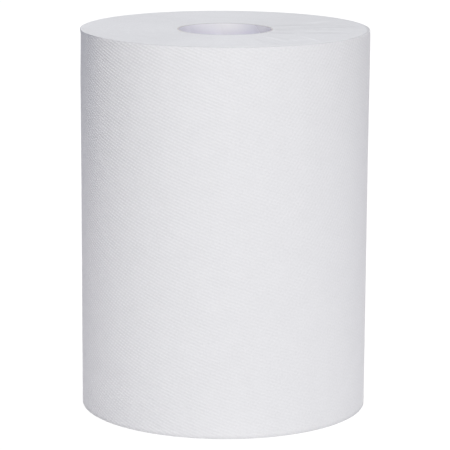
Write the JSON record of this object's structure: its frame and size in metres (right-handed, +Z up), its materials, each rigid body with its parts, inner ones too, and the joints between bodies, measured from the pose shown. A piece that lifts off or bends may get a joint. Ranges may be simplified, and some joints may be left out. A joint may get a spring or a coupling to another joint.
{
  "type": "paper towel roll",
  "caption": "Roll of white embossed paper towel wound on a thin round board core, with flush cut ends and an open bore.",
  "frame": {"origin": "centre of the roll's lower end, on the core's axis", "axes": "+Z up the core's axis, -Y towards the side that faces the viewer"},
  "size_m": [0.1532, 0.1533, 0.203],
  "materials": {
    "towel_paper": "matte",
    "core_board": "matte"
  },
  "bodies": {
    "root": {"paper_roll": "towel_paper", "core_tube": "core_board"}
  },
  "joints": []
}
